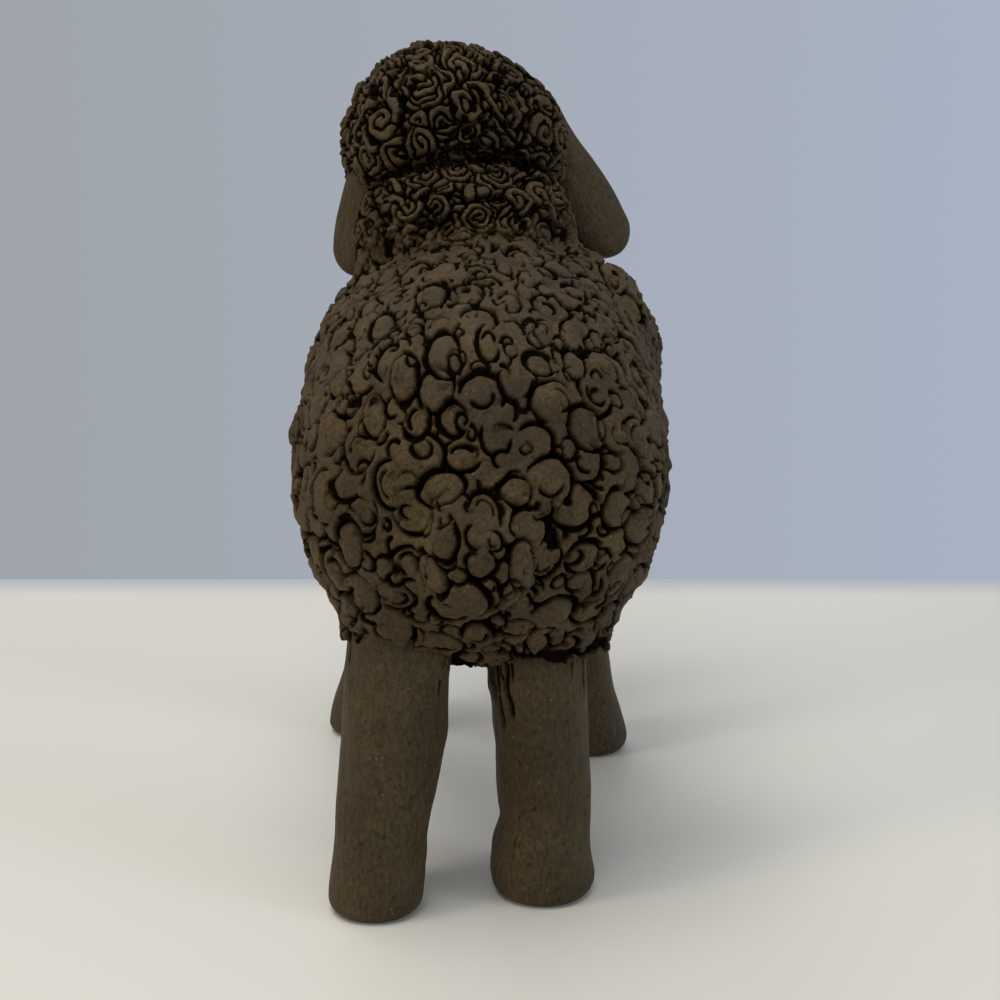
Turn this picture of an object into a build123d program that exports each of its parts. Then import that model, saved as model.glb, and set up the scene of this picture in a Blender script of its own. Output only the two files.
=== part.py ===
from build123d import *
import os
from math import atan2, ceil, cos, degrees, hypot, pi, radians, sin

# Barrel of the body: two pinched pots joined rim to rim at the waist
body_half_length = 41.0
body_half_width = 24.5
body_end_share = 0.94
body_wall = 7.0
body_rise = 10.0
body_centre_y = -3.95
body_centre_z = 55.8
vent_radius = 1.5
vent_behind_waist = 9.0

# Legs: feet and hips are placed from the middle of the body
foot_radius = 6.0
hip_radius = 6.8
sole_chamfer = 1.0
rear_hip_drop = 8.8
front_hip_rise = 3.2
rear_left_foot = (-13.7, -29.6)
rear_left_hip = (-9.0, -27.0)
rear_right_foot = (8.7, -24.6)
rear_right_hip = (6.4, -25.0)
front_left_foot = (-19.7, 34.0)
front_left_hip = (-9.0, 25.0)
front_right_foot = (16.8, 26.0)
front_right_hip = (7.0, 24.0)

# Head: placed from the middle of the body, turned and tipped to its left, nose a little down
head_right = -4.3
head_ahead = 33.0
head_up = 39.7
head_turn = 15.0
head_tip = -9.0
head_nod = -8.0
skull_half_width = 15.8
skull_half_height = 13.6
skull_side_share = 0.926
muzzle_reach = 25.0
muzzle_drop = 20.0
muzzle_root_half_width = 9.6
muzzle_root_half_height = 11.0
muzzle_mid_half_width = 7.6
muzzle_mid_half_height = 8.8
muzzle_mid_share = 0.62
nose_half_width = 5.8
nose_half_height = 6.4
nose_round = 3.2

# Neck: placed from the middle of the body
neck_right = -3.2
neck_ahead = 26.5
neck_up = 24.7
neck_half_length = 15.0
neck_half_width = 13.0
neck_end_share = 0.945

# Ears: drooping paddles rooted in the sides of the skull
ear_length = 21.0
ear_root_radius = 2.9
ear_tip_radius = 4.7
ear_thickness = 3.0
ear_edge_chamfer = 0.9
left_ear_root_depth = 2.4
right_ear_root_depth = -0.7
ear_root_up = 1.5
ear_splay = 13.0
ear_clearance = 0.3
ear_facing = 35.0

# Eyes: pellets pressed into the front of the skull
eye_radius = 1.9
eye_sunk = 1.0
eye_proud = 1.0
eye_taper = 25.0
eye_along = 0.25
eye_around = 292.0

# Tail: stub laid on the rump
tail_along = 0.02
tail_around = 0.0
tail_half_length = 8.0
tail_half_width = 6.0
tail_end_share = 0.897
tail_swing = 20.0

# Fleece: open rolled coils, with pellets between them
fleece_pitch = 6.5
head_pitch = 6.3
tail_pitch = 5.8
seat_gap = 0.02
coil_radius = 3.0
coil_width = 1.45
coil_height = 1.6
coil_opening = 80.0
coil_sides = 5
pellet_radius = 2.3
pellet_sides = 6
pellet_height = 1.5
pellet_taper = 20.0
curl_clearance = 0.3
curl_turn = 137.5

# Edges of the regions of the fleece, as shares of a carrier's half length and angles round it
rump_share = 0.66
cheek_share = 0.62
crown_edges = (60.0, 315.0)
face_edges = (205.0, 325.0)
side_angle = 90.0


def ovoid_arcs(half_length, half_width, end_share):
    """Radius and place of an ovoid's end arcs, and radius of the long arc tangent to both."""
    end_radius = half_width * end_share
    end_centre = half_length - end_radius
    long_radius = (end_centre**2 + half_width**2 - end_radius**2) / (2 * (half_width - end_radius))
    return end_radius, end_centre, long_radius


def ovoid_outline(half_length, half_width, end_share):
    """Upper outline of an ovoid from its rear pole to its front pole, as three tangent arcs."""
    end_radius, end_centre, long_radius = ovoid_arcs(half_length, half_width, end_share)
    long_angle = degrees(atan2(end_centre, long_radius - half_width))
    end_angle = 90 - long_angle
    with BuildLine() as outline:
        CenterArc((-end_centre, 0), end_radius, 180, -end_angle)
        CenterArc((0, half_width - long_radius), long_radius, 90 + long_angle, -2 * long_angle)
        CenterArc((end_centre, 0), end_radius, end_angle, -end_angle)
    return Wire(outline.edges())


def ovoid_gap(point, frame, size):
    """Distance from a point outside an ovoid to its surface."""
    end_radius, end_centre, long_radius = ovoid_arcs(*size)
    along = abs((point - frame.origin).dot(frame.x_dir))
    across = (point - frame.origin).cross(frame.x_dir).length
    drop = long_radius - size[1]
    if along * drop > end_centre * (across + drop):
        return hypot(along - end_centre, across) - end_radius
    return hypot(along, across + drop) - long_radius


def ovoid(frame, half_length, half_width, end_share):
    """Solid ovoid whose long axis is the X axis of the frame."""
    with BuildPart() as solid:
        with BuildSketch(frame):
            with BuildLine():
                add(ovoid_outline(half_length, half_width, end_share))
                Line((-half_length, 0), (half_length, 0))
            make_face()
        revolve(axis=Axis(frame.origin, frame.x_dir))
    return solid.part


def ovoid_seat(frame, outline, along, around, turn):
    """Plane on an ovoid at a share of its outline and an angle round its axis."""
    place = outline.position_at(along)
    run = outline.tangent_at(along)
    radial = frame.y_dir * cos(radians(around)) + frame.z_dir * sin(radians(around))
    sideways = frame.z_dir * cos(radians(around)) - frame.y_dir * sin(radians(around))
    outward = radial * run.X - frame.x_dir * run.Y
    origin = frame.origin + frame.x_dir * place.X + radial * place.Y
    return Plane(origin, x_dir=sideways.rotate(Axis((0, 0, 0), outward), turn), z_dir=outward)


def ovoid_seats(frame, size, pitch):
    """Seats in rings one pitch apart, each with its share of the half length and angle round."""
    outline = ovoid_outline(*size)
    row_count = ceil(outline.length / pitch)
    seats = []
    for row in range(row_count):
        along = (row + 0.5) / row_count
        place = outline.position_at(along)
        ring_count = max(1, int(2 * pi * place.Y / pitch))
        for step in range(ring_count):
            around = 360 * (step + 0.5 * (row % 2)) / ring_count
            seat = ovoid_seat(frame, outline, along, around, curl_turn * len(seats))
            seats.append((seat.offset(seat_gap), place.X / size[0], around, (row + step) % 2))
    return seats


def open_ring(outer_radius, inner_radius):
    """Flat open ring with straight sides."""
    sweep = 360 - coil_opening
    turns = [radians(coil_opening / 2 + sweep * n / coil_sides) for n in range(coil_sides + 1)]
    outer = [(outer_radius * cos(t), outer_radius * sin(t)) for t in turns]
    inner = [(inner_radius * cos(t), inner_radius * sin(t)) for t in reversed(turns)]
    with BuildSketch() as ring:
        with BuildLine():
            Polyline(*outer, *inner, close=True)
        make_face()
    return ring.sketch


def stem_gap(point, stem):
    """Distance from a point to a round-ended stem given as its two ends and radius."""
    start, end, radius = stem
    axis = end - start
    reach = min(max((point - start).dot(axis) / axis.dot(axis), 0), 1)
    return (point - start - axis * reach).length - radius


def keep_seat(region, seat, odd, stems, carriers):
    """Give a seat a coil or a pellet, whichever is due and clear of the stems and carriers near it."""
    gaps = [stem_gap(seat.origin, stem) for stem in stems]
    gaps += [ovoid_gap(seat.origin, *carrier) for carrier in carriers]
    room = min(gaps) - curl_clearance
    coils, pellets = regions.setdefault(region, ([], []))
    if not odd and room > coil_radius:
        coils.append(seat)
    elif room > pellet_radius:
        pellets.append(seat)


# Frames: X runs along the carrier's long axis, Y up and Z to one side
rise = radians(body_rise)
body_centre = Vector(0, body_centre_y, body_centre_z)
body_frame = Plane(body_centre, x_dir=(0, cos(rise), sin(rise)), z_dir=(1, 0, 0))
waist = Plane(body_centre, x_dir=(1, 0, 0), z_dir=body_frame.x_dir)
head_centre = body_centre + Vector(head_right, head_ahead, head_up)
head_frame = Plane(head_centre).rotated((head_nod, head_tip, head_turn))
skull_frame = Plane(head_frame.origin, x_dir=head_frame.x_dir, z_dir=-head_frame.y_dir)
muzzle_frame = head_frame.rotated((-muzzle_drop, 0, 0))
muzzle_start = Plane(muzzle_frame.origin, x_dir=muzzle_frame.x_dir, z_dir=muzzle_frame.y_dir)
neck_centre = body_centre + Vector(neck_right, neck_ahead, neck_up)
neck_frame = Plane(neck_centre, x_dir=head_frame.origin - neck_centre, z_dir=head_frame.x_dir)

# Carriers of the fleece
body_size = (body_half_length, body_half_width, body_end_share)
skull_size = (skull_half_width, skull_half_height, skull_side_share)
neck_size = (neck_half_length, neck_half_width, neck_end_share)
tail_size = (tail_half_length, tail_half_width, tail_end_share)
body_form = ovoid(body_frame, *body_size)
hollow_half_width = body_half_width - body_wall
hollow_end_share = (body_half_width * body_end_share - body_wall) / hollow_half_width
body_hollow = ovoid(body_frame, body_half_length - body_wall, hollow_half_width, hollow_end_share)
skull_form = ovoid(skull_frame, *skull_size)
tail_seat = ovoid_seat(body_frame, ovoid_outline(*body_size), tail_along, tail_around, 0)
tail_lean = radians(tail_swing)
tail_frame = Plane(
    tail_seat.origin, x_dir=(0, -sin(tail_lean), -cos(tail_lean)), z_dir=(1, 0, 0)
)

os.makedirs("parts", exist_ok=True)

# Rear pot of the body, with the vent that lets the hollow be fired
with BuildPart() as body_rear:
    add(body_form)
    add(body_hollow, mode=Mode.SUBTRACT)
    with BuildSketch(Plane(body_centre - waist.z_dir * vent_behind_waist, z_dir=(0, 0, -1))):
        Circle(vent_radius)
    extrude(amount=body_half_width + body_wall, mode=Mode.SUBTRACT)
    split(bisect_by=waist, keep=Keep.BOTTOM)
body_rear.part.label = "body_rear"
export_step(body_rear.part, "parts/body_rear.step")

# Front pot of the body
with BuildPart() as body_front:
    add(body_form)
    add(body_hollow, mode=Mode.SUBTRACT)
    split(bisect_by=waist, keep=Keep.TOP)
body_front.part.label = "body_front"
export_step(body_front.part, "parts/body_front.step")

# Head: skull ball with the muzzle drawn out of it
with BuildPart() as head:
    with BuildSketch(muzzle_start):
        Ellipse(muzzle_root_half_width, muzzle_root_half_height)
    with BuildSketch(muzzle_start.offset(muzzle_reach * muzzle_mid_share)):
        Ellipse(muzzle_mid_half_width, muzzle_mid_half_height)
    with BuildSketch(muzzle_start.offset(muzzle_reach)):
        Ellipse(nose_half_width, nose_half_height)
    loft()
    nose_edge = head.edges().sort_by(Axis(muzzle_start.origin, muzzle_start.z_dir))[-1]
    fillet(nose_edge, nose_round)
    add(skull_form)
head.part.label = "head"
export_step(head.part, "parts/head.step")

# Neck stub between the shoulders and the skull
with BuildPart() as neck:
    add(ovoid(neck_frame, *neck_size))
    add(body_form, mode=Mode.SUBTRACT)
    add(head.part, mode=Mode.SUBTRACT)
neck.part.label = "neck"
export_step(neck.part, "parts/neck.step")

# Legs, coped to the underside of the body
rear_hip_height = body_centre_z - rear_hip_drop
front_hip_height = body_centre_z + front_hip_rise
leg_stances = {
    "leg_rear_left": (rear_left_foot, rear_left_hip, rear_hip_height),
    "leg_rear_right": (rear_right_foot, rear_right_hip, rear_hip_height),
    "leg_front_left": (front_left_foot, front_left_hip, front_hip_height),
    "leg_front_right": (front_right_foot, front_right_hip, front_hip_height),
}
leg_stems = []
for name, (foot, hip, hip_height) in leg_stances.items():
    foot_point = Vector(foot[0], body_centre_y + foot[1], 0)
    hip_point = Vector(hip[0], body_centre_y + hip[1], hip_height)
    leg_stems.append((foot_point, hip_point, hip_radius))
    with BuildPart() as leg:
        with BuildSketch(Plane(foot_point)):
            Circle(foot_radius)
        with BuildSketch(Plane(hip_point)):
            Circle(hip_radius)
        loft()
        chamfer(leg.faces().sort_by(Axis.Z)[0].edges(), sole_chamfer)
        add(body_form, mode=Mode.SUBTRACT)
    leg.part.label = name
    export_step(leg.part, f"parts/{name}.step")

# Ears and eyes, one of each to a side
ear_stems = []
paddle_stems = []
eye_stems = []
neck_room = ovoid(
    neck_frame, neck_half_length + ear_clearance, neck_half_width + ear_clearance, neck_end_share
)
skull_outline = ovoid_outline(*skull_size)
splay = radians(ear_splay)
facing = radians(ear_facing)
ear_sides = (
    ("left", -1, left_ear_root_depth, eye_along),
    ("right", 1, right_ear_root_depth, 1 - eye_along),
)
for name, side, root_depth, eye_share in ear_sides:
    droop = head_frame.x_dir * (side * sin(splay)) - head_frame.z_dir * cos(splay)
    outward = head_frame.x_dir * (side * cos(splay)) + head_frame.z_dir * sin(splay)
    ear_normal = outward * sin(facing) - head_frame.y_dir * cos(facing)
    root_out = head_frame.x_dir * (side * (skull_half_width - root_depth))
    ear_root = head_frame.origin + root_out + head_frame.z_dir * ear_root_up
    ear_plane = Plane(ear_root, x_dir=droop, z_dir=ear_normal)
    ear_stems.append((ear_root, ear_root + droop * ear_length / 2, ear_root_radius))
    paddle_stems.append((ear_root, ear_root + droop * (ear_length - ear_tip_radius), ear_tip_radius))
    with BuildPart() as ear:
        with BuildSketch(ear_plane):
            Circle(ear_root_radius)
            with Locations((ear_length - ear_tip_radius, 0)):
                Circle(ear_tip_radius)
            make_hull()
        extrude(amount=ear_thickness / 2, both=True)
        chamfer(ear.faces().filter_by(ear_plane).edges(), ear_edge_chamfer)
        add(head.part, mode=Mode.SUBTRACT)
        add(neck_room, mode=Mode.SUBTRACT)
    ear.part.label = f"ear_{name}"
    export_step(ear.part, f"parts/ear_{name}.step")

    eye_seat = ovoid_seat(skull_frame, skull_outline, eye_share, eye_around, 0)
    eye_stems.append((eye_seat.origin, eye_seat.offset(eye_proud).origin, eye_radius))
    with BuildPart() as eye:
        with BuildSketch(eye_seat.offset(-eye_sunk)):
            Circle(eye_radius)
        extrude(amount=eye_sunk + eye_proud, taper=eye_taper)
        add(head.part, mode=Mode.SUBTRACT)
    eye.part.label = f"eye_{name}"
    export_step(eye.part, f"parts/eye_{name}.step")

# Tail stub
with BuildPart() as tail:
    add(ovoid(tail_frame, *tail_size))
    add(body_form, mode=Mode.SUBTRACT)
tail.part.label = "tail"
export_step(tail.part, "parts/tail.step")

# Patterns of the fleece
with BuildPart() as coil:
    with BuildSketch():
        add(open_ring(coil_radius, coil_radius - coil_width))
    extrude(amount=coil_height)
with BuildPart() as pellet:
    with BuildSketch():
        RegularPolygon(pellet_radius, pellet_sides)
    extrude(amount=pellet_height, taper=pellet_taper)

# Stems and carriers that the fleece keeps clear of
muzzle_end = muzzle_start.offset(muzzle_reach).origin
muzzle_stem = (muzzle_start.offset(muzzle_root_half_height).origin, muzzle_end, muzzle_root_half_width)
head_stems = ear_stems + eye_stems + [muzzle_stem]
nape_stems = paddle_stems + [muzzle_stem]
body_carrier = (body_frame, body_size)
skull_carrier = (skull_frame, skull_size)
neck_carrier = (neck_frame, neck_size)
tail_carrier = (tail_frame, tail_size)

# Seats of the fleece, sorted by the region of the animal that they lie on
regions = {}
sides = ("curls_back", "curls_right_flank", "curls_belly", "curls_left_flank")
for seat, share, around, odd in ovoid_seats(body_frame, body_size, fleece_pitch):
    if abs(share) > rump_share:
        region = "curls_chest" if share > 0 else "curls_rump"
    else:
        region = sides[int((around + side_angle / 2) // side_angle) % len(sides)]
    keep_seat(region, seat, odd, leg_stems, [neck_carrier, skull_carrier, tail_carrier])

for seat, share, around, odd in ovoid_seats(skull_frame, skull_size, head_pitch):
    if abs(share) > cheek_share:
        region = "curls_right_cheek" if share > 0 else "curls_left_cheek"
    else:
        region = "curls_poll" if crown_edges[0] < around < crown_edges[1] else "curls_crown"
    if not face_edges[0] < around < face_edges[1]:
        keep_seat(region, seat, odd, head_stems, [neck_carrier])

for seat, share, around, odd in ovoid_seats(neck_frame, neck_size, head_pitch):
    keep_seat("curls_nape", seat, odd, nape_stems, [skull_carrier, body_carrier])

for seat, share, around, odd in ovoid_seats(tail_frame, tail_size, tail_pitch):
    keep_seat("curls_tail", seat, True, [], [body_carrier])

# Groups of curls, one to a region
for name, (coil_seats, pellet_seats) in regions.items():
    with BuildPart() as curls:
        if coil_seats:
            with Locations(*coil_seats):
                add(coil.part)
        if pellet_seats:
            with Locations(*pellet_seats):
                add(pellet.part)
    curls.part.label = name
    export_step(curls.part, f"parts/{name}.step")
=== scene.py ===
import math

import bmesh
import bpy
import numpy as np
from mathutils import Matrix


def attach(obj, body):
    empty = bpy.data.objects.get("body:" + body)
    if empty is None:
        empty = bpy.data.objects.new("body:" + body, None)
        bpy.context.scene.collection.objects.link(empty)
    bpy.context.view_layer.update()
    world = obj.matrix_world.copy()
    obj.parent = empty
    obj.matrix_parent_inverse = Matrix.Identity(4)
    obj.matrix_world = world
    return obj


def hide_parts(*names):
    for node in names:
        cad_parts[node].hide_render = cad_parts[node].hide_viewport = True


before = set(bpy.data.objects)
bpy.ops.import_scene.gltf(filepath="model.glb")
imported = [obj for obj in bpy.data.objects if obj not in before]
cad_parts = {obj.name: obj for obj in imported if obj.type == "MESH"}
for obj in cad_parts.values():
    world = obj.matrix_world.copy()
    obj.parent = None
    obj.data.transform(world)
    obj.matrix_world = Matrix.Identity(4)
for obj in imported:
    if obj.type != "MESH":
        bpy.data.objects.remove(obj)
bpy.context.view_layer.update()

# Sizes in millimetres, from the part's source
body_centre = np.array([0.0, -3.95, 55.8])
body_rise = math.radians(10)
body_size = (41.0, 24.5, 0.94)
head_centre = body_centre + np.array([-4.3, 33.0, 39.7])
head_angles = (-8, -9, 15)
muzzle_angles = (-28, -9, 15)
skull_size = (15.8, 13.6, 0.926)
neck_centre = body_centre + np.array([-3.2, 26.5, 24.7])
neck_size = (15.0, 14.0, 0.945)
tail_size = (8.0, 6.0, 0.897)
tail_lean = math.radians(20)


# Small helpers

def unit(v):
    return v / np.linalg.norm(v, axis=-1, keepdims=True)


def turned(angles):
    """Axes of a frame turned about X, Y and Z, as columns."""
    a, b, c = (math.radians(t) for t in angles)
    rx = np.array([[1, 0, 0], [0, math.cos(a), -math.sin(a)], [0, math.sin(a), math.cos(a)]])
    ry = np.array([[math.cos(b), 0, math.sin(b)], [0, 1, 0], [-math.sin(b), 0, math.cos(b)]])
    rz = np.array([[math.cos(c), -math.sin(c), 0], [math.sin(c), math.cos(c), 0], [0, 0, 1]])
    return rx @ ry @ rz


def step(low, high, x):
    t = np.clip((x - low) / (high - low), 0, 1)
    return t * t * (3 - 2 * t)


def noise(points, size, seed):
    """Smooth noise from -1 to 1 with lumps about one size across."""
    table = np.random.RandomState(seed).rand(32, 32, 32) * 2 - 1
    q = points / size + 100
    i = np.floor(q).astype(int)
    f = q - i
    f = f * f * (3 - 2 * f)
    out = np.zeros(len(points))
    for dx in (0, 1):
        for dy in (0, 1):
            for dz in (0, 1):
                w = np.abs(1 - dx - f[:, 0]) * np.abs(1 - dy - f[:, 1]) * np.abs(1 - dz - f[:, 2])
                out += w * table[(i[:, 0] + dx) % 32, (i[:, 1] + dy) % 32, (i[:, 2] + dz) % 32]
    return out


def make_piece(name, points, faces, values=None):
    """Mesh object from points in millimetres, with an optional painted-shade value for hollows at each point."""
    mesh = bpy.data.meshes.new(name)
    mesh.from_pydata((points * 0.001).tolist(), [], [list(f) for f in faces])
    mesh.update()
    if values is not None:
        store = mesh.attributes.new("hollow_shade", "FLOAT", "POINT")
        store.data.foreach_set("value", values.astype(np.float32))
    mesh.shade_smooth()
    piece = bpy.data.objects.new(name, mesh)
    bpy.context.scene.collection.objects.link(piece)
    return piece


def grid_faces(rows, cols, start_tip, end_tip):
    """Faces of a closed tube of rings, with a tip point at each end after the ring points."""
    faces = []
    for r in range(rows - 1):
        a = r * cols
        b = a + cols
        for c in range(cols):
            d = (c + 1) % cols
            faces.append((a + c, a + d, b + d, b + c))
    last = (rows - 1) * cols
    for c in range(cols):
        d = (c + 1) % cols
        faces.append((start_tip, d, c))
        faces.append((end_tip, last + c, last + d))
    return faces


class Ovoid:
    """Round body of three tangent arcs turned about its long axis, as in the part's source."""

    def __init__(self, centre, x_dir, z_dir, size):
        self.centre = np.array(centre, float)
        self.x = unit(np.array(x_dir, float))
        z = np.array(z_dir, float)
        self.z = unit(z - self.x * z.dot(self.x))
        self.y = np.cross(self.z, self.x)
        self.length, self.width, share = size
        self.end = self.width * share
        self.mid = self.length - self.end
        self.long = (self.mid**2 + self.width**2 - self.end**2) / (2 * (self.width - self.end))
        self.long_angle = math.atan2(self.mid, self.long - self.width)
        self.end_angle = math.pi / 2 - self.long_angle
        self.first = self.end * self.end_angle
        self.total = 2 * self.first + 2 * self.long * self.long_angle

    def at(self, share, around):
        """Points and outward directions at shares of the outline and angles round the axis."""
        s = np.asarray(share) * self.total
        first = math.pi - s / self.end
        middle = math.pi / 2 + self.long_angle - (s - self.first) / self.long
        final = self.end_angle - (s - self.total + self.first) / self.end
        where = np.where(s < self.first, 0, np.where(s > self.total - self.first, 2, 1))
        angle = np.choose(where, (first, middle, final))
        radius = np.choose(where, (self.end, self.long, self.end))
        mid_x = np.choose(where, (-self.mid, 0, self.mid))
        mid_r = np.choose(where, (0, self.width - self.long, 0))
        along = mid_x + radius * np.cos(angle)
        across = mid_r + radius * np.sin(angle)
        spoke = self.y * np.cos(around)[:, None] + self.z * np.sin(around)[:, None]
        points = self.centre + self.x * along[:, None] + spoke * across[:, None]
        normals = self.x * np.cos(angle)[:, None] + spoke * np.sin(angle)[:, None]
        return points, normals

    def height(self, points):
        """Distance of points above the surface, and the outward direction there."""
        rel = points - self.centre
        along = rel @ self.x
        out = rel - along[:, None] * self.x
        across = np.linalg.norm(out, axis=1)
        spoke = out / np.maximum(across, 1e-6)[:, None]
        drop = self.long - self.width
        ends = np.abs(along) * drop > self.mid * (across + drop)
        dx = np.where(ends, along - np.sign(along) * self.mid, along)
        dr = np.where(ends, across, across + drop)
        dist = np.hypot(dx, dr)
        normals = (self.x * dx[:, None] + spoke * dr[:, None]) / np.maximum(dist, 1e-6)[:, None]
        return dist - np.where(ends, self.end, self.long), normals

    def scatter(self, spacing, seed):
        """Points spread over the surface, no two nearer than the spacing."""
        dice = np.random.RandomState(seed)
        share = dice.rand(9000)
        around = dice.rand(9000) * 2 * math.pi
        points, normals = self.at(share, around)
        rel = points - self.centre
        across = np.linalg.norm(rel - (rel @ self.x)[:, None] * self.x, axis=1)
        tries = np.nonzero(dice.rand(9000) < across / self.width)[0]
        kept = []
        for t in tries:
            if not kept or ((points[kept] - points[t])**2).sum(1).min() > spacing**2:
                kept.append(t)
        return points[kept], normals[kept]

    def skin(self, low, high, rows, cols):
        """Ring points from one share of the outline to another, without the ends' tip points."""
        share = np.repeat(low + (high - low) * (np.arange(rows) + 0.5) / rows, cols)
        around = np.tile(np.arange(cols) * 2 * math.pi / cols, rows)
        return self.at(share, around)


def nearby(points):
    """Function that finds the numbers of the points within a reach of a place."""
    order = np.argsort(points[:, 2])
    levels = points[order, 2]

    def find(place, reach):
        low, high = np.searchsorted(levels, (place[2] - reach, place[2] + reach))
        block = order[low:high]
        rel = points[block] - place
        return block[(rel * rel).sum(1) < reach**2]

    return find


def tooled(points, normals, seeds, ways, radii, depths, seed):
    """Relief of a fleece pressed with a round tool held at a slant: height, and painted shade of the grooves, at
    each point.
    """
    dice = np.random.RandomState(seed)
    find = nearby(points)
    waver = noise(points, 1.3, 77)
    high = np.zeros(len(points))
    hollow_shade = np.zeros(len(points))
    for centre, normal, radius, depth in zip(seeds, ways, radii, depths):
        slant = dice.uniform(0, 2 * math.pi)
        kind = dice.rand()
        level = dice.uniform(-0.11, 0.11) * radius
        oval = dice.uniform(0.84, 1.19)
        wide = dice.uniform(0.17, 0.40) * min(1, 0.45 + radius / 4)
        near = find(centre, radius * 1.75)
        near = near[normals[near] @ normal > 0.1]
        if not len(near):
            continue
        rel = points[near] - centre
        flat = step(0.3, 0.85, normal[2])
        oval *= 1 - 0.24 * flat
        depth *= 1 - 0.35 * flat
        wide *= 1 + 0.25 * flat
        e1 = unit(np.cross(normal, (1.0, 0.06, 0.04)))
        e2 = np.cross(normal, e1)
        x, y = rel @ e1, rel @ e2
        r = np.hypot(x * oval, y / oval) + 0.2 * waver[near]
        turn = np.arctan2(y, x) - slant
        side = np.cos(turn)
        toward = (x * math.cos(slant) + y * math.sin(slant)) / radius
        inside = step(radius + 0.12, radius - 0.25, r) * (0.4 + 0.6 * step(-0.9, 0.2, toward))
        dome = level + 0.19 * radius * (1 - (r / radius)**2) - 0.13 * radius * toward

        def arc(path, half):
            return step(half + 0.17, half - 0.17, np.abs(r - path)) * step(0.03, 0.14, half)

        lap = np.mod(turn, 2 * math.pi) / (2 * math.pi)
        if kind < 0.3:
            groove = arc(radius, wide * step(-0.6, 0.5, side))
        elif kind < 0.58:
            groove = arc(radius, wide * (0.4 + 0.6 * step(-0.9, 0.6, side)))
        elif kind < 0.66:
            groove = arc(radius * (0.28 + 0.72 * lap), 0.13 + 0.14 * lap)
        elif kind < 0.86:
            back = arc(0.52 * radius, 0.75 * wide * step(-0.2, 0.6, np.cos(turn + 2.4)))
            groove = np.maximum(arc(radius, wide * step(-0.75, 0.4, side)), back)
        else:
            inner = arc(0.55 * radius, 0.65 * wide * step(-0.6, 0.6, side))
            groove = np.maximum(arc(radius, wide * step(-0.75, 0.5, side)), inner)
        lip = 0.05 * radius * np.exp(-((r - radius - 0.6) / 0.4)**2)
        old = high[near]
        high[near] = old + (dome - old) * inside * 0.9 - depth * groove + lip
        # Painted shade: the groove value darkens the clay near black in the material.
        hollow_shade[near] = np.maximum(hollow_shade[near] * (1 - 0.9 * inside), groove)
    return high, hollow_shade


def spread(points, spacing, seed, tries=14000):
    """Numbers of points picked so that no two are nearer than the spacing."""
    dice = np.random.RandomState(seed)
    kept = []
    for t in dice.permutation(len(points))[:tries]:
        if not kept or ((points[kept] - points[t])**2).sum(1).min() > spacing**2:
            kept.append(t)
    return np.array(kept)


def strip(rows, cols):
    """Faces of a closed tube whose two tip points follow its ring points."""
    return grid_faces(rows, cols, rows * cols, rows * cols + 1)


def ball(carrier, rows, cols, lift):
    """Closed skin of an ovoid, lifted off it by a length or by a length at each point."""
    points, normals = carrier.skin(0, 1, rows, cols)
    points = points + normals * np.broadcast_to(lift, len(points))[:, None]
    return np.vstack([points, points[:cols].mean(0), points[-cols:].mean(0)]), strip(rows, cols)


# Materials

def ramp(nodes, low, high, low_colour, high_colour):
    node = nodes.new("ShaderNodeValToRGB")
    node.color_ramp.elements[0].position = low
    node.color_ramp.elements[1].position = high
    node.color_ramp.elements[0].color = (*low_colour, 1)
    node.color_ramp.elements[1].color = (*high_colour, 1)
    return node


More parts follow.
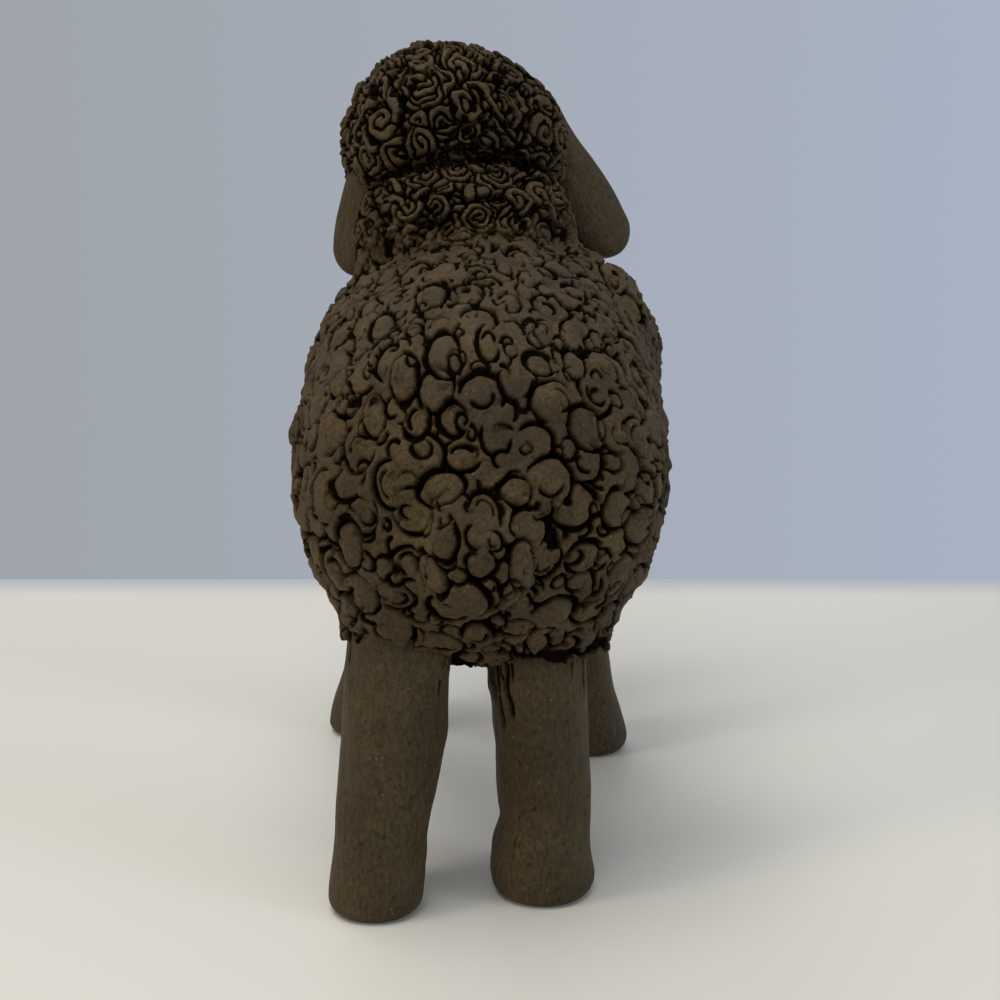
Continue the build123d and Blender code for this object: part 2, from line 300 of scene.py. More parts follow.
def clay(name, dark, light, hollow_shade_dark, stretch, grain, rough):
    """Unglazed stoneware: mottled brown, pale flecks that are partly grog and partly painted glints, dark
    pinholes, hollows painted near black as shade (with some darker clay) and a fine tooth.
    """
    material = bpy.data.materials.new(name)
    material.use_nodes = True
    nodes, links = material.node_tree.nodes, material.node_tree.links
    shader = nodes["Principled BSDF"]
    coords = nodes.new("ShaderNodeTexCoord")
    drawn = nodes.new("ShaderNodeMapping")
    drawn.inputs["Scale"].default_value = (1, 1, stretch)
    drawn.inputs["Rotation"].default_value = (0.12, 0.2, 0)
    links.new(coords.outputs["Object"], drawn.inputs["Vector"])

    def texture(kind, scale, where=coords.outputs["Object"], **settings):
        node = nodes.new(kind)
        node.inputs["Scale"].default_value = scale
        for key, value in settings.items():
            node.inputs[key].default_value = value
        links.new(where, node.inputs["Vector"])
        return node

    def mix(kind, factor, a, b):
        node = nodes.new("ShaderNodeMix")
        node.data_type = "RGBA"
        node.blend_type = kind
        for value, socket in ((factor, node.inputs[0]), (a, node.inputs[6]), (b, node.inputs[7])):
            if isinstance(value, (int, float)):
                socket.default_value = value
            elif isinstance(value, tuple):
                socket.default_value = (*value, 1)
            else:
                links.new(value, socket)
        return node.outputs[2]

    def dots(scale, low, high, pick_scale, pick_low, strength):
        cells = texture("ShaderNodeTexVoronoi", scale, Randomness=1.0)
        spots = ramp(nodes, low, high, (strength,) * 3, (0, 0, 0))
        links.new(cells.outputs["Distance"], spots.inputs["Fac"])
        pick = texture("ShaderNodeTexNoise", pick_scale, Detail=1)
        some = ramp(nodes, pick_low, pick_low + 0.07, (0, 0, 0), (1, 1, 1))
        links.new(pick.outputs["Fac"], some.inputs["Fac"])
        return mix("MULTIPLY", 1.0, spots.outputs["Color"], some.outputs["Color"])

    broad = texture("ShaderNodeTexNoise", 110, Detail=4, Roughness=0.6)
    tones = ramp(nodes, 0.34, 0.68, dark, light)
    links.new(broad.outputs["Fac"], tones.inputs["Fac"])
    fine = texture("ShaderNodeTexNoise", 2100, drawn.outputs["Vector"], Detail=3, Roughness=0.65)
    mottle = ramp(nodes, 0.32, 0.7, (0.44, 0.43, 0.41), (1.6, 1.57, 1.52))
    links.new(fine.outputs["Fac"], mottle.inputs["Fac"])
    colour = mix("MULTIPLY", 1.0, tones.outputs["Color"], mottle.outputs["Color"])
    colour = mix("MIX", dots(760, 0.05, 0.19, 300, 0.47, 0.75), colour, (0.007, 0.0045, 0.002))
    # Pale flecks: partly grog in the clay, partly painted glints of light on small grains.
    colour = mix("MIX", dots(980, 0.04, 0.17, 520, 0.52, 0.7), colour, (0.20, 0.165, 0.11))
    # Painted shade, with some darker clay: where the hollow mask is high the colour goes near black and the
    # specular goes away. This stands for the shade in grooves, gaps, folds and dents.
    if hollow_shade_dark:
        hollow_shade = nodes.new("ShaderNodeAttribute")
        hollow_shade.attribute_name = "hollow_shade"
        depth = ramp(nodes, 0.1, 0.65, (0, 0, 0), (hollow_shade_dark,) * 3)
        links.new(hollow_shade.outputs["Fac"], depth.inputs["Fac"])
        colour = mix("MIX", depth.outputs["Color"], colour, (0.0035, 0.0021, 0.0010))
        shine = ramp(nodes, 0.0, 0.5, (0.24,) * 3, (0.01,) * 3)
        links.new(hollow_shade.outputs["Fac"], shine.inputs["Fac"])
        links.new(shine.outputs["Color"], shader.inputs["Specular IOR Level"])
    links.new(colour, shader.inputs["Base Color"])

    tooth = texture("ShaderNodeTexNoise", grain, drawn.outputs["Vector"], Detail=5, Roughness=0.7)
    pits = texture("ShaderNodeTexVoronoi", 900)
    heights = nodes.new("ShaderNodeMath")
    heights.operation = "MULTIPLY_ADD"
    links.new(pits.outputs["Distance"], heights.inputs[0])
    heights.inputs[1].default_value = 0.3
    links.new(tooth.outputs["Fac"], heights.inputs[2])
    bump = nodes.new("ShaderNodeBump")
    bump.inputs["Strength"].default_value = 0.7
    bump.inputs["Distance"].default_value = 0.0004
    links.new(heights.outputs[0], bump.inputs["Height"])
    links.new(bump.outputs["Normal"], shader.inputs["Normal"])
    gloss = ramp(nodes, 0.3, 0.7, (rough - 0.14,) * 3, (rough + 0.12,) * 3)
    links.new(fine.outputs["Fac"], gloss.inputs["Fac"])
    links.new(gloss.outputs["Color"], shader.inputs["Roughness"])
    return material


fleece_clay = clay("fleece_clay", (0.033, 0.0202, 0.0066), (0.070, 0.0448, 0.0152), 0.98, 1.0, 1500, 0.64)
smooth_clay = clay("smooth_clay", (0.037, 0.0242, 0.0083), (0.0565, 0.0382, 0.0140), 0.95, 0.5, 2400, 0.62)
eye_clay = clay("eye_clay", (0.014, 0.010, 0.006), (0.024, 0.018, 0.011), 0, 1.0, 1900, 0.42)
eye_clay.node_tree.nodes["Principled BSDF"].inputs["Specular IOR Level"].default_value = 0.2


def dress(piece, material, slot, *nodes):
    piece.data.materials.append(material)
    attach(piece, "root")
    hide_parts(*nodes)
    return piece


# Carriers
body = Ovoid(body_centre, (0, math.cos(body_rise), math.sin(body_rise)), (1, 0, 0), body_size)
head_axes = turned(head_angles)
head_x, head_y, head_z = head_axes.T
muzzle_x, muzzle_y, muzzle_z = turned(muzzle_angles).T
skull = Ovoid(head_centre, head_x, -head_y, skull_size)
neck = Ovoid(neck_centre, head_centre - neck_centre, head_x, neck_size)
tail_seat, tail_out = body.at(np.array([0.02]), np.array([0.0]))
tail = Ovoid(tail_seat[0], (0, -math.sin(tail_lean), -math.cos(tail_lean)), (1, 0, 0), tail_size)

# Legs: foot and hip from the body's middle, hip and fleece heights, outline as height, shift, radius
legs = {
    "leg_rear_left": ((-13.7, -29.6), (-9.0, -27.0), 47.0, 35.6,
                      [(0, 0.0, 6.1), (4, 0.0, 6.15), (9, 0.0, 5.95), (16, 0.2, 6.25), (24, 0.4, 6.7),
                       (32, 0.1, 6.5), (47, 0.0, 6.5)]),
    "leg_rear_right": ((8.7, -24.6), (6.4, -25.0), 47.0, 33.4,
                       [(0, -0.45, 6.6), (4, -0.55, 6.85), (7, -0.3, 6.6), (10.5, 0.3, 5.95),
                        (16, 0.25, 6.0), (26, 0.1, 6.3), (36, 0.0, 6.6), (47, 0.0, 6.7)]),
    "leg_front_left": ((-19.7, 34.0), (-9.0, 25.0), 59.0, 41.0,
                       [(0, -0.2, 6.0), (4, -0.2, 6.25), (10, 0.3, 5.8), (22, 0.2, 6.0), (40, 0.0, 6.5),
                        (59, 0.0, 6.7)]),
    "leg_front_right": ((16.8, 26.0), (7.0, 24.0), 59.0, 40.0,
                        [(0, 0.1, 6.0), (4, 0.2, 6.25), (11, -0.3, 5.8), (22, -0.2, 6.0), (40, 0.0, 6.5),
                         (59, 0.0, 6.7)]),
}


def leg_rings(leg, z, extra, cols):
    """Rings of points round a leg at heights, with the outward direction of each."""
    foot, hip, top, edge, form = leg
    marks = np.array(form)
    share = z / top
    x = foot[0] + (hip[0] - foot[0]) * share + np.interp(z, marks[:, 0], marks[:, 1])
    y = body_centre[1] + foot[1] + (hip[1] - foot[1]) * share
    radius = np.interp(z, marks[:, 0], marks[:, 2])
    if len(z) > 60:
        blur = np.ones(13) / 13
        x = np.convolve(np.pad(x, 6, mode="edge"), blur, "valid")
        radius = np.convolve(np.pad(radius, 6, mode="edge"), blur, "valid")
    around = np.arange(cols) * 2 * math.pi / cols
    out = np.stack([np.cos(around), np.sin(around), np.zeros(cols)], 1)
    middle = np.stack([x, y, z], 1)
    rings = middle[:, None, :] + out[None, :, :] * (radius + extra)[:, None, None]
    return rings.reshape(-1, 3), np.tile(out, (len(z), 1)), middle


# Scratches left by a tool: leg, angle round it, lowest and highest point, half width and depth
scratches = [("leg_rear_right", 186, 24.5, 36.0, 0.30, 0.55), ("leg_rear_right", 193, 27.5, 36.0, 0.22, 0.45),
             ("leg_rear_right", 202, 23.5, 36.0, 0.30, 0.65), ("leg_rear_right", 211, 26.0, 36.0, 0.34, 0.80),
             ("leg_rear_right", 220, 22.8, 36.0, 0.30, 0.70), ("leg_rear_right", 228, 28.0, 36.0, 0.22, 0.50),
             ("leg_rear_right", 235, 24.0, 36.0, 0.28, 0.65), ("leg_rear_right", 242, 29.5, 36.0, 0.20, 0.40),
             ("leg_rear_right", 312, 30.5, 36.0, 0.20, 0.30), ("leg_rear_right", 323, 28.5, 36.0, 0.24, 0.40),
             ("leg_rear_right", 333, 27.0, 36.0, 0.24, 0.45), ("leg_rear_right", 344, 29.5, 36.0, 0.20, 0.35),
             ("leg_rear_left", 206, 32.0, 39.0, 0.24, 0.35), ("leg_rear_left", 330, 28.0, 39.0, 0.20, 0.30)]
for number, (name, leg) in enumerate(legs.items()):
    cols, rows = (236, 220) if "rear" in name else (120, 150)
    sole_round = 1.8
    low = sole_round * (1 - np.cos(np.linspace(0.1, math.pi / 2, 14)))
    z = np.concatenate([low, np.linspace(sole_round, leg[2], rows)[1:]])
    tuck = np.sqrt(np.maximum(0, sole_round**2 - np.maximum(sole_round - z, 0)**2)) - sole_round
    points, out, middle = leg_rings(leg, z, tuck, cols)
    push = 0.34 * noise(points, 7.0, 20 + number) + 0.13 * noise(points, 2.6, 30 + number)
    push += 0.05 * noise(points * (1, 1, 0.2), 0.7, 40 + number)
    # Painted shade: the scratches and pits are darkened in the colour.
    hollow_shade = np.zeros(len(points))
    around = np.degrees(np.arctan2(out[:, 1], out[:, 0])) % 360
    for which, angle, bottom, top, wide, deep in scratches:
        if which == name:
            wander = angle + 3 * noise(points * (0, 0, 1), 2.5, int(angle))
            off = np.radians(around - wander) * 6.5
            broken = step(-0.55, -0.1, noise(points * (0, 0, 1), 1.7, int(angle) + 5))
            along = step(bottom, bottom + 3.5, points[:, 2]) * broken
            line = np.exp(-(off / (wide * (0.35 + 0.65 * along)))**2) * along
            push += 0.14 * np.exp(-((np.abs(off) - 2.2 * wide) / wide)**2) * along - deep * line
            hollow_shade = np.maximum(hollow_shade, line)
    pits = step(0.66, 0.8, noise(points, 0.5, 47 + number))
    push -= 0.06 * pits
    hollow_shade = np.maximum(hollow_shade, 0.3 * pits)
    points += out * (push * step(0.2, 3.0, points[:, 2]))[:, None]
    points[:cols, 2] = 0.0
    points = np.vstack([points, [middle[0] * (1, 1, 0), middle[-1]]])
    piece = make_piece(name + "_clay", points, strip(len(z), cols), np.append(hollow_shade, [0, 0]))
    dress(piece, smooth_clay, "smooth_clay", name)


def skinned(name, parts, *steps):
    """One closed skin round closed parts that run into each other, remeshed and eased step by step."""
    points, faces, start = [], [], 0
    for p, f in parts:
        points.append(p)
        faces += [tuple(v + start for v in face) for face in f]
        start += len(p)
    rough = make_piece(name + "_parts", np.vstack(points), faces)
    for voxel, rounds in steps:
        skin = rough.modifiers.new("skin", "REMESH")
        skin.mode = "VOXEL"
        skin.voxel_size = voxel * 0.001
        ease = rough.modifiers.new("ease", "SMOOTH")
        ease.iterations = rounds
        ease.factor = 0.5
    graph = bpy.context.evaluated_depsgraph_get()
    mesh = bpy.data.meshes.new_from_object(rough.evaluated_get(graph))
    old = rough.data
    bpy.data.objects.remove(rough)
    bpy.data.meshes.remove(old)
    mesh.name = name
    mesh.shade_smooth()
    piece = bpy.data.objects.new(name, mesh)
    bpy.context.scene.collection.objects.link(piece)
    return piece


def mesh_points(piece):
    values = np.zeros(len(piece.data.vertices) * 3, np.float32)
    piece.data.vertices.foreach_get("co", values)
    return values.reshape(-1, 3).astype(float) * 1000


def mesh_normals(piece):
    values = np.zeros(len(piece.data.vertices) * 3, np.float32)
    piece.data.vertices.foreach_get("normal", values)
    return values.reshape(-1, 3).astype(float)


def set_points(piece, points, hollow_shade):
    piece.data.vertices.foreach_set("co", (points * 0.001).astype(np.float32).ravel())
    store = piece.data.attributes.new("hollow_shade", "FLOAT", "POINT")
    store.data.foreach_set("value", hollow_shade.astype(np.float32))
    piece.data.update()


def one_side(piece, name, place, direction):
    """Closed copy of the side of a piece that a direction points to from a plane."""
    mesh = piece.data.copy()
    mesh.name = name
    work = bmesh.new()
    work.from_mesh(mesh)
    geometry = work.verts[:] + work.edges[:] + work.faces[:]
    bmesh.ops.bisect_plane(work, geom=geometry, plane_co=place * 0.001, plane_no=direction, clear_inner=True)
    rim = [edge for edge in work.edges if edge.is_boundary]
    bmesh.ops.triangle_fill(work, edges=rim, normal=-direction)
    work.to_mesh(mesh)
    work.free()
    side = bpy.data.objects.new(name, mesh)
    bpy.context.scene.collection.objects.link(side)
    return side


def rosette(dice):
    """Flat paths and half width of a strand rolled into a spiral."""
    thick = dice.uniform(0.36, 0.6)
    reach = dice.uniform(1.7, 2.5)
    t = np.linspace(0, 1, 48)
    grow = 0.3 + (reach - 0.3) * t
    turn = dice.choice([-1, 1]) * 2 * math.pi * t * (reach - 0.3) / (2.5 * thick)
    return [(grow * np.cos(turn), grow * np.sin(turn))], thick


def wave(dice):
    """Strand in an S."""
    t = np.linspace(0, 1, 30)
    sway = dice.uniform(0.7, 1.5) * np.sin(2 * math.pi * dice.uniform(0.6, 1.1) * t + dice.uniform(0, 3))
    return [(dice.uniform(3.5, 6.5) * (t - 0.5), sway)], dice.uniform(0.36, 0.68)


def nested(dice):
    """Two or three strands bent one inside another."""
    thick = dice.uniform(0.3, 0.46)
    bend = dice.uniform(2.2, 4.0) * np.linspace(-0.5, 0.5, 28)
    reaches = [0.8 + 2.3 * thick * n for n in range(dice.randint(2, 4))]
    return [(reach * np.cos(bend) - 1.2, reach * np.sin(bend)) for reach in reaches], thick


def laid(points, normals, seeds, ways, seed):
    """Relief of rolled strands laid one over another: height, and painted shade of the gaps and edges, at each
    point.
    """
    dice = np.random.RandomState(seed)
    find = nearby(points)
    bent = points + 0.58 * np.stack([noise(points, 1.3, seed + n) for n in (1, 2, 3)], 1)
    high = np.full(len(points), -0.8)
    # Painted shade: the gaps between strands start near black, and the strand edges darken.
    hollow_shade = np.full(len(points), 0.95)
    for centre, normal in zip(seeds, ways):
        kind = dice.rand()
        paths, thick = rosette(dice) if kind < 0.26 else wave(dice) if kind < 0.72 else nested(dice)
        level = dice.uniform(-0.35, 0.45)
        turn = dice.uniform(0, 2 * math.pi)
        near = find(centre, 4.6)
        near = near[normals[near] @ normal > 0.2]
        e1 = unit(np.cross(normal, (0.3, 0.5, 0.81)))
        e2 = np.cross(normal, e1)
        rel = bent[near] - centre
        u, v = rel @ e1, rel @ e2
        x, y = u * math.cos(turn) + v * math.sin(turn), v * math.cos(turn) - u * math.sin(turn)
        dome = 0.35 * (1 - (x * x + y * y) / 9)
        for path_x, path_y in paths:
            away = np.hypot(x[:, None] - path_x, y[:, None] - path_y).min(1)
            top = level + dome + 0.95 * np.sqrt(np.maximum(thick**2 - away**2, 0))
            edge = np.exp(-((away - thick - 0.1) / 0.26)**2)
            on = away < thick
            high[near] = np.where(on, top, high[near] - 0.8 * edge)
            hollow_shade[near] = np.where(on, 0.9 * step(0.74, 1.0, away / thick), np.maximum(hollow_shade[near], edge))
    return high, hollow_shade


# Fleece over the body, the neck and the tops of the legs, in three lengths
shoulder_right = Ovoid(body_centre + (9.2, 21.0, 7.9), (1, 0, 0), (0, 0, 1), (17.6, 17.5, 0.9))
flank_right = Ovoid(body_centre + (9.2, 10.0, 5.0), (0, 1, 0), (0, 0, 1), (18.0, 16.0, 0.9))
shoulder_left = Ovoid(body_centre + (-8.4, 21.0, 7.4), (1, 0, 0), (0, 0, 1), (16.6, 16.5, 0.9))
flank_left = Ovoid(body_centre + (-9.4, 10.0, 5.0), (0, 1, 0), (0, 0, 1), (18.0, 16.3, 0.9))
wide_neck = Ovoid(neck_centre, head_centre - neck_centre, head_x, (15.4, 15.9, 0.95))
points, faces = ball(neck, 50, 70, 0.5)
aside = (points - neck_centre) @ head_x
points = points + head_x * (0.13 * aside + 0.1 * np.maximum(aside, 0))[:, None]
parts = [ball(body, 60, 90, 0.85), (points, faces), ball(shoulder_right, 40, 60, 0),
         ball(shoulder_left, 40, 60, 0), ball(flank_right, 40, 60, 0), ball(flank_left, 40, 60, 0)]
hem = []
for number, (name, leg) in enumerate(legs.items()):
    z = np.linspace(leg[3], leg[2] - 3, 24)
    beyond, shift = (1.9, 1.5) if name == "leg_rear_right" else (1.3, 0.0)
    points, out, middle = leg_rings(leg, z, np.full(24, beyond), 48)
    points[:, 0] += shift
    points[:, 2] += step(leg[3] + 6, leg[3], points[:, 2]) * 1.1 * noise(points * (1, 1, 0), 3.2, 90 + number)
    hem.append((middle[0], leg[3]))
    parts.append((np.vstack([points, middle[:1], middle[-1:]]), strip(24, 48)))
parts.append(ball(tail, 40, 60, 0.5))
fleece = skinned("fleece", parts, (0.9, 20), (0.245, 4))
points, normals = mesh_points(fleece), mesh_normals(fleece)
nape = step(2.3, 0.6, wide_neck.height(points)[0]) * step(78, 84, points[:, 2])
stamps = []
dice = np.random.RandomState(5)
for spacing, radius, depth in ((2.6, (0.8, 1.6), (0.35, 0.8)), (4.3, (1.9, 3.1), (0.8, 1.4)), (5.5, (0.7, 1.3), (0.4, 0.8))):
    picked = spread(points, spacing, int(10 * spacing))
    picked = picked[nape[picked] < 0.5]
    stamps += [(p, dice.uniform(*radius), dice.uniform(*depth)) for p in picked]
picked, radii, depths = (np.array(values) for values in zip(*stamps))
relief, hollow_shade = tooled(points, normals, points[picked], normals[picked], radii, depths, 11)
# Painted shade: the grooves, the holes under the fleece rim over the legs, the grain gaps, the fold under the
# head and the deep relief are darkened in the colour.
holes = step(0.5, 0.68, noise(points, 1.7, 6)) * step(0.1, 0.5, noise(points, 9.0, 7))
for foot, level in hem:
    close = step(12, 9.5, np.hypot(*(points - foot)[:, :2].T)) * step(level + 3.2, level + 1.8, points[:, 2])
    holes = np.maximum(holes, close * step(0.0, 0.3, noise(points, 1.6, 16)))
relief -= 0.9 * holes
hollow_shade = np.maximum(hollow_shade, holes)
on_nape = np.nonzero(nape > 0.05)[0]
starts = on_nape[spread(points[on_nape], 1.5, 13)]
strand_relief, strand_hollow_shade = laid(points[on_nape], normals[on_nape], points[starts], normals[starts], 12)
grains = 0.45 * noise(points[on_nape], 1.2, 14) + 0.3 * noise(points[on_nape], 0.6, 15)
grainy = 0.6 * step(88, 83, points[on_nape, 2])
strand_relief += (grains - strand_relief) * grainy
strand_hollow_shade += (step(0.16, -0.2, grains) - strand_hollow_shade) * grainy
share = nape[on_nape]
relief[on_nape] += (strand_relief - relief[on_nape]) * share
hollow_shade[on_nape] += (strand_hollow_shade - hollow_shade[on_nape]) * share
fold = np.exp(-((skull.height(points)[0] - 1.2) / 0.9)**2) * nape * step(0.2, -0.4, normals[:, 1])
relief -= 0.8 * fold
hollow_shade = np.maximum(hollow_shade, fold)
relief += 0.4 * noise(points, 6.0, 1) + 0.22 * noise(points, 2.2, 2) + 0.12 * noise(points, 0.7, 4)
relief -= 0.9 * step(-0.4, -0.9, normals[:, 2])
hollow_shade = np.maximum(hollow_shade, 0.8 * step(-0.5, -1.2, relief))
set_points(fleece, points + normals * relief[:, None], hollow_shade)
flanks = ("curls_back", "curls_left_flank", "curls_right_flank", "curls_belly")
rear_cut, front_cut, tail_cut = (body_centre + body.x * along for along in (-14, 12, -39.5))
middle = one_side(fleece, "fleece_behind", front_cut, -body.x)
rear = one_side(fleece, "fleece_behind_middle", rear_cut, -body.x)
dress(one_side(rear, "tail_fleece", tail_cut, -body.x), fleece_clay, "fleece_clay", "tail", "curls_tail")
dress(one_side(rear, "fleece_rear", tail_cut, body.x), fleece_clay, "fleece_clay",
      "body_rear", "curls_rump", *flanks)
dress(one_side(middle, "fleece_middle", rear_cut, body.x), fleece_clay, "fleece_clay",
      "body_rear", "body_front", *flanks)
front = one_side(fleece, "fleece_before_middle", front_cut, body.x)
neck_cut = neck_centre - neck.x * 5
dress(one_side(front, "neck_fleece", neck_cut, neck.x), fleece_clay, "fleece_clay", "neck", "curls_nape")
dress(one_side(front, "fleece_front", neck_cut, -neck.x), fleece_clay, "fleece_clay",
      "body_front", "curls_chest", *flanks)
bpy.data.objects.remove(middle)
bpy.data.objects.remove(rear)
bpy.data.objects.remove(front)
bpy.data.objects.remove(fleece)

def skull_around(points):
    """Angle round the skull's side-to-side axis: 0 up, 90 back, 180 down, 270 forward."""
    rel = points - head_centre
    return np.degrees(np.arctan2(rel @ skull.z, rel @ skull.y)) % 360


def leaned(points):
    """Head drawn in towards its crown, which leans to the animal's left."""
    rel = points - head_centre
    up = np.maximum(rel @ head_z, 0)
    return points - head_x * (0.012 * up * (rel @ head_x) + 0.13 * up)[:, None]


# Wool of the head: rolled strands of clay laid over the skull
points, faces = ball(skull, 262, 366, 0)
normals = skull.height(points)[1]
angles = skull_around(points)
beside = step(12.5, 14.5, np.abs((points - head_centre) @ head_x))
face_side = step(198, 210, angles) * step(330, 320, angles) * (1 - beside)
picked = spread(points, 1.5, 23)
picked = picked[face_side[picked] < 0.3]
relief, hollow_shade = laid(points, normals, points[picked], normals[picked], 24)
relief += 0.24 * noise(points, 1.6, 70) + 0.2 * noise(points, 0.65, 71) + 0.5 * noise(points, 4.6, 72)
fold = np.exp(-((neck.height(points)[0] - 1.0) / 1.0)**2) * step(20, 60, angles) * step(160, 130, angles)
fold *= 0.45 + 0.55 * step(-0.4, 0.3, noise(points, 6.0, 73))
# Painted shade: the fold over the neck, the tears and the gaps between strands are darkened in the colour.
tears = step(0.36, 0.6, noise(points, 1.35, 74))
relief -= 1.2 * fold + 0.7 * tears
hollow_shade = np.maximum(hollow_shade, np.maximum(fold, tears))
lift = (1.0 + relief) * (1 - face_side) - 2.5 * face_side
wool = make_piece("head_wool", leaned(points + normals * lift[:, None]), faces, hollow_shade)
dress(wool, fleece_clay, "fleece_clay", "curls_crown", "curls_poll", "curls_left_cheek", "curls_right_cheek")

# Face: skull and muzzle in one skin
marks = np.array([(0, 9.6, 11.0), (9, 8.9, 10.2), (15.5, 7.6, 8.8), (20.5, 6.9, 7.7), (23.2, 5.9, 6.5),
                  (24.6, 4.2, 4.7), (25.0, 2.6, 3.0)])
along = np.concatenate([np.linspace(0, 23, 30), np.linspace(23.3, 25.0, 8)])
around = np.arange(64) * 2 * math.pi / 64
wide, tall = np.interp(along, marks[:, 0], marks[:, 1]), np.interp(along, marks[:, 0], marks[:, 2])
rings = (head_centre + muzzle_y * along[:, None, None]
         + muzzle_x * (wide[:, None] * np.cos(around))[:, :, None]
         - muzzle_z * (tall[:, None] * np.sin(around))[:, :, None])
points = np.vstack([rings.reshape(-1, 3), head_centre, head_centre + muzzle_y * 25.0])
face = skinned("head_clay", [ball(skull, 60, 90, -0.1), (points, strip(len(along), 64))], (0.45, 14))
points = mesh_points(face)
normals = mesh_normals(face)
rel = points - head_centre
lx, ly, lz = rel @ muzzle_x, rel @ muzzle_y, rel @ muzzle_z
# Painted shade: the nostrils, the mouth and its split are darkened in the colour.
cut = np.zeros(len(points))
hollow_shade = np.zeros(len(points))
for side in (-1, 1):
    nostril = np.hypot((lx - side * 2.5) / 1.0 + side * (lz - 2.2) * 0.35, (lz - 2.2) / 0.7)
    dent = np.exp(-nostril**2) * step(21, 23, ly)
    cut += 1.3 * dent
    hollow_shade = np.maximum(hollow_shade, dent)
mouth_line = -2.1 - 0.035 * (lx**2) * -1 - 0.05 * (24 - ly)
mouth = np.exp(-((lz - mouth_line) / 0.4)**2) * step(14.5, 17.5, ly)
split = np.exp(-(lx / 0.35)**2) * step(-2.4, -1.8, lz) * step(1.6, 1.0, lz) * step(22.5, 23.5, ly)
groove = np.maximum(mouth, 0.7 * split)
cut += 0.75 * groove
hollow_shade = np.maximum(hollow_shade, 0.9 * groove)
points = points - normals * cut[:, None]
points = points + normals * (0.16 * noise(points, 5, 91) + 0.05 * noise(points, 1.4, 92))[:, None]
set_points(face, leaned(points), hollow_shade)
dress(face, smooth_clay, "smooth_clay", "head")

# Ears: drooping paddles, a little cupped
for name, side, depth, splay, facing, tip in (("left", -1, 2.2, 13, 35, 15.5), ("right", 1, 0.4, 18.6, 8, 18.7)):
    splay, facing = math.radians(splay), math.radians(facing)
    droop = head_x * (side * math.sin(splay)) - head_z * math.cos(splay)
    outward = head_x * (side * math.cos(splay)) + head_z * math.sin(splay)
    normal = outward * math.sin(facing) - head_y * math.cos(facing)
    across = np.cross(normal, droop)
    root = head_centre + head_x * (side * (15.8 - depth)) + head_z * 1.5
    cols = 72
    u = np.concatenate([-2.4 * np.cos(np.linspace(0.2, 1.3, 8)), np.linspace(-0.4, tip - 0.5, 60),
                        tip + 4.7 * np.sin(np.linspace(0.0, 1.45, 26))])
    rows = len(u)
    half = 2.4 + 2.3 * step(0, 15, u)
    half = np.where(u > tip, np.sqrt(np.maximum(0.04, 4.7**2 - (u - tip)**2)), half)
    half = np.where(u < 0, np.sqrt(np.maximum(0.04, 2.4**2 - u**2)), half)
    deep = 1.55 * np.sqrt(np.clip(half / 4.0, 0.1, 1))
    around = np.arange(cols) * 2 * math.pi / cols
    c, s = np.cos(around), np.sin(around)
    flat_s = np.sign(s) * np.abs(s)**0.75
    v = half[:, None] * c
    w = deep[:, None] * flat_s + 0.9 * (half[:, None] / 4.7) * (c**2 - 0.5) * -1
    points = (root + droop * u[:, None, None] + across * v[:, :, None] + normal * w[:, :, None]).reshape(-1, 3)
    ends = np.array([root + droop * u[0], root + droop * (u[-1] + 0.02)])
    lump = 0.16 * noise(points, 5.0, 51) + 0.07 * noise(points, 1.8, 52)
    points = points + normal * lump[:, None]
    points = np.vstack([points, ends])
    piece = make_piece("ear_clay_" + name, points, grid_faces(rows, cols, rows * cols, rows * cols + 1),
                       np.zeros(len(points)))
    dress(piece, smooth_clay, "smooth_clay", "ear_" + name)

# Eyes: pressed pellets
for name, share in (("left", 0.25), ("right", 0.75)):
    seat, out = skull.at(np.array([share]), np.array([math.radians(292)]))
    seat, out = seat[0], out[0]
    e1 = unit(head_x - out * (head_x @ out))
    e2 = np.cross(out, e1)
    rows, cols = 24, 40
    lat = np.linspace(-1.5, 1.5, rows)
    around = np.arange(cols) * 2 * math.pi / cols
    points = (seat + (np.cos(lat)[:, None, None] * 1.9)
              * (e1 * np.cos(around)[None, :, None] + e2 * 0.86 * np.sin(around)[None, :, None])
              + out * (np.sin(lat) * 1.15)[:, None, None]).reshape(-1, 3)
    points = np.vstack([points, seat - out * 1.15, seat + out * 1.15])
    piece = make_piece("eye_clay_" + name, leaned(points), grid_faces(rows, cols, rows * cols, rows * cols + 1))
    dress(piece, eye_clay, "eye_clay", "eye_" + name)


# Stage: white table and pale wall
def plain(name, colour, roughness):
    material = bpy.data.materials.new(name)
    material.use_nodes = True
    shader = material.node_tree.nodes["Principled BSDF"]
    shader.inputs["Base Color"].default_value = (*colour, 1)
    shader.inputs["Roughness"].default_value = roughness
    return material


def sheet(name, corners, material):
    mesh = bpy.data.meshes.new(name)
    mesh.from_pydata(corners, [], [(0, 1, 2, 3)])
    mesh.materials.append(material)
    thing = bpy.data.objects.new(name, mesh)
    bpy.context.scene.collection.objects.link(thing)


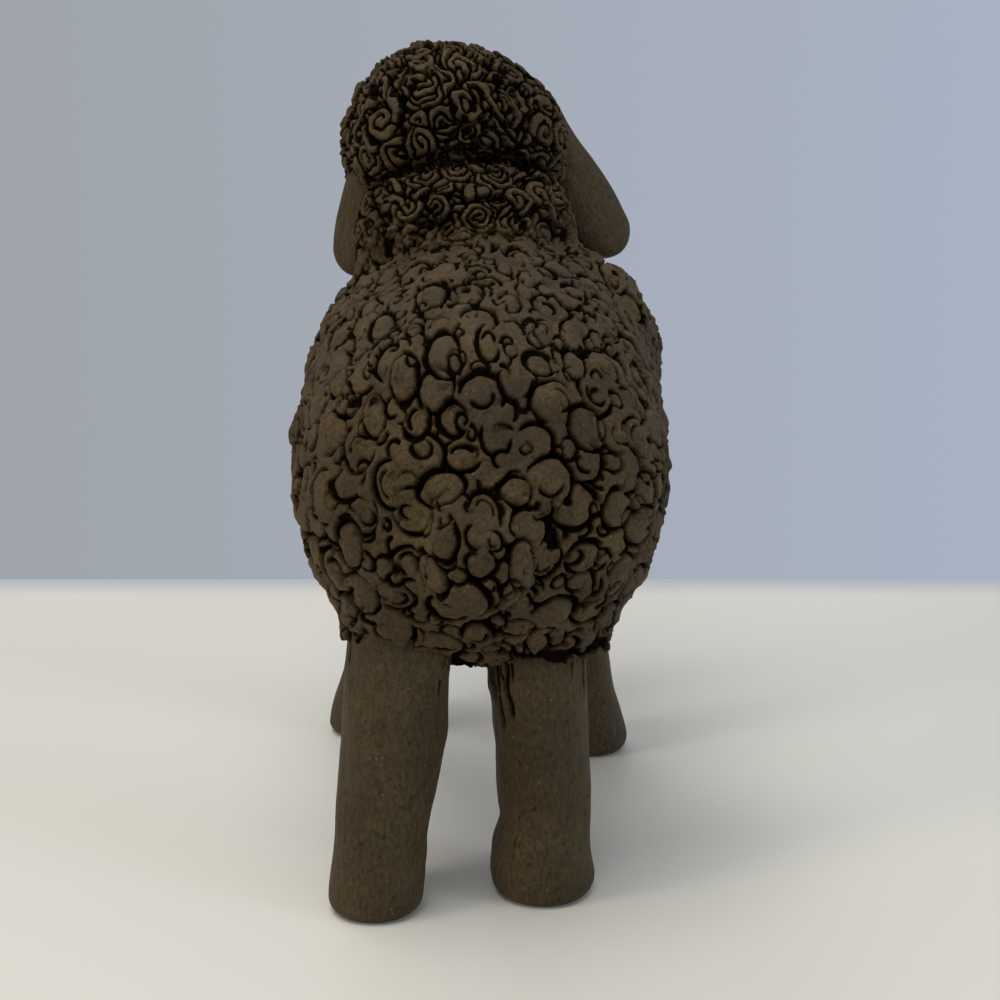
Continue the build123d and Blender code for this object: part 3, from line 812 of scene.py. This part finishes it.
# The table ends in a soft edge; beyond it only the pale wall colour of the world is seen
edge_y = 0.1187
table_white = plain("table_white", (0.72, 0.708, 0.657), 0.4)
nodes, links = table_white.node_tree.nodes, table_white.node_tree.links
coords = nodes.new("ShaderNodeTexCoord")
split = nodes.new("ShaderNodeSeparateXYZ")
links.new(coords.outputs["Object"], split.inputs[0])
near_edge = nodes.new("ShaderNodeMapRange")
near_edge.inputs["From Min"].default_value = edge_y - 0.012
near_edge.inputs["From Max"].default_value = edge_y
links.new(split.outputs["Y"], near_edge.inputs["Value"])
fade = ramp(nodes, 0.0, 1.0, (0.72, 0.708, 0.657), (0.46, 0.49, 0.56))
links.new(near_edge.outputs["Result"], fade.inputs["Fac"])
links.new(fade.outputs["Color"], nodes["Principled BSDF"].inputs["Base Color"])
sheet("table", [(-3, -3, 0), (3, -3, 0), (3, edge_y, 0), (-3, edge_y, 0)], table_white)


def lamp(name, place, target, size, power, colour=(1, 1, 1)):
    light = bpy.data.lights.new(name, "AREA")
    light.size = size
    light.energy = power
    light.color = colour
    thing = bpy.data.objects.new(name, light)
    bpy.context.scene.collection.objects.link(thing)
    thing.location = place
    aim = np.array(target) - np.array(place)
    thing.rotation_euler = (math.atan2(math.hypot(aim[0], aim[1]), -aim[2]), 0, math.atan2(-aim[0], aim[1]))
    return thing


lamp("lamp_top", (-0.15, -0.25, 0.9), (0, 0, 0.03), 0.6, 4.7, (1.0, 0.97, 0.92))
lamp("lamp_left", (-0.78, -0.4, 0.34), (0, 0, 0.06), 0.25, 2.45, (1.0, 0.90, 0.74))
lamp("lamp_right", (0.76, -0.4, 0.27), (0, 0, 0.06), 0.25, 1.8, (0.79, 0.90, 1.0))
lamp("lamp_front", (-0.3, 0.55, 0.95), (0, 0, 0.06), 0.4, 1.5, (1.0, 0.97, 0.93))
world = bpy.data.worlds.new("soft")
world.use_nodes = True
nodes, links = world.node_tree.nodes, world.node_tree.links
soft = nodes["Background"]
soft.inputs["Color"].default_value = (0.97, 0.98, 1.0, 1)
soft.inputs["Strength"].default_value = 0.34
coords = nodes.new("ShaderNodeTexCoord")
split = nodes.new("ShaderNodeSeparateXYZ")
links.new(coords.outputs["Generated"], split.inputs[0])
across = nodes.new("ShaderNodeMapRange")
across.inputs["From Min"].default_value = -0.28
across.inputs["From Max"].default_value = 0.28
links.new(split.outputs["X"], across.inputs["Value"])
# Painted light: the wall colour seen by the camera runs from greyer and warmer on the left to brighter and bluer
# on the right. This stands for the warm left lamp and the cool right lamp.
wall_painted_light = ramp(nodes, 0.0, 1.0, (0.35, 0.375, 0.405), (0.40, 0.448, 0.55))
links.new(across.outputs["Result"], wall_painted_light.inputs["Fac"])
seen = nodes.new("ShaderNodeBackground")
links.new(wall_painted_light.outputs["Color"], seen.inputs["Color"])
rays = nodes.new("ShaderNodeLightPath")
seen_by = rays.outputs["Is Camera Ray"]
for ray in ("Is Glossy Ray", "Is Transmission Ray"):
    either = nodes.new("ShaderNodeMath")
    either.operation = "MAXIMUM"
    links.new(seen_by, either.inputs[0])
    links.new(rays.outputs[ray], either.inputs[1])
    seen_by = either.outputs[0]
choice = nodes.new("ShaderNodeMixShader")
links.new(seen_by, choice.inputs[0])
links.new(soft.outputs[0], choice.inputs[1])
links.new(seen.outputs[0], choice.inputs[2])
links.new(choice.outputs[0], nodes["World Output"].inputs["Surface"])
scene = bpy.context.scene
scene.world = world
scene.view_settings.view_transform = "Standard"

# Camera: behind the animal, a little above it
camera = bpy.data.cameras.new("camera")
camera.lens = 61.2
camera.sensor_width = 36
camera.clip_start = 0.01
eye = bpy.data.objects.new("camera", camera)
bpy.context.scene.collection.objects.link(eye)
eye.location = (0.0025, -0.23595, 0.1028)
eye.rotation_euler = (math.radians(90 - 13.5), 0, 0)
scene.camera = eye
